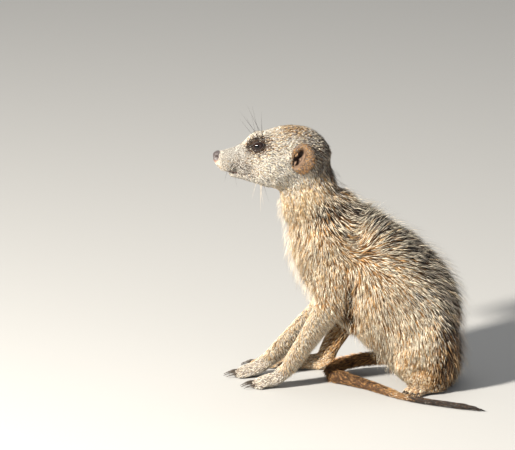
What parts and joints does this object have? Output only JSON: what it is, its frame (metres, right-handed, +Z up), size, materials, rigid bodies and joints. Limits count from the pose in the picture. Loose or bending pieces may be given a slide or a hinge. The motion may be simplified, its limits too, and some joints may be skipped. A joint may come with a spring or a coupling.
{
  "type": "meerkat figure",
  "caption": "Life-size meerkat sitting upright on its haunches, forelegs propped in front and tail curled forward along its side.",
  "frame": {"origin": "middle of the whole model's footprint box, on the floor", "axes": "+Z up, -X towards the nose, -Y to the animal's left"},
  "size_m": [0.1896, 0.1198, 0.1866],
  "materials": {
    "body_coat": "grizzled tan fur",
    "claw": "horn",
    "ear_skin": "thin skin with short fur",
    "eye": "wet and glossy",
    "face_coat": "short silvery cream fur",
    "limb_coat": "short cream fur",
    "nose_skin": "fine grained bare skin",
    "tail_coat": "short golden brown fur",
    "tail_tip_coat": "short black fur"
  },
  "bodies": {
    "root": {"ear_left": "ear_skin", "ear_right": "ear_skin", "eye_left": "eye", "eye_right": "eye", "forearm_left": "limb_coat", "forearm_right": "limb_coat", "foreclaw_left_1": "claw", "foreclaw_left_2": "claw", "foreclaw_left_3": "claw", "foreclaw_left_4": "claw", "foreclaw_right_1": "claw", "foreclaw_right_2": "claw", "foreclaw_right_3": "claw", "foreclaw_right_4": "claw", "forepaw_left": "limb_coat", "forepaw_right": "limb_coat", "head": "face_coat", "hindclaw_left_1": "claw", "hindclaw_left_2": "claw", "hindclaw_left_3": "claw", "hindclaw_left_4": "claw", "hindclaw_right_1": "claw", "hindclaw_right_2": "claw", "hindclaw_right_3": "claw", "hindclaw_right_4": "claw", "hindpaw_left": "limb_coat", "hindpaw_right": "limb_coat", "lower_jaw": "face_coat", "neck": "body_coat", "nose": "nose_skin", "shin_left": "limb_coat", "shin_right": "limb_coat", "tail_base": "tail_coat", "tail_middle": "tail_coat", "tail_tip": "tail_tip_coat", "thigh_left": "body_coat", "thigh_right": "body_coat", "trunk_front": "body_coat", "trunk_middle": "body_coat", "trunk_rear": "body_coat", "upper_arm_left": "limb_coat", "upper_arm_right": "limb_coat"}
  },
  "joints": []
}
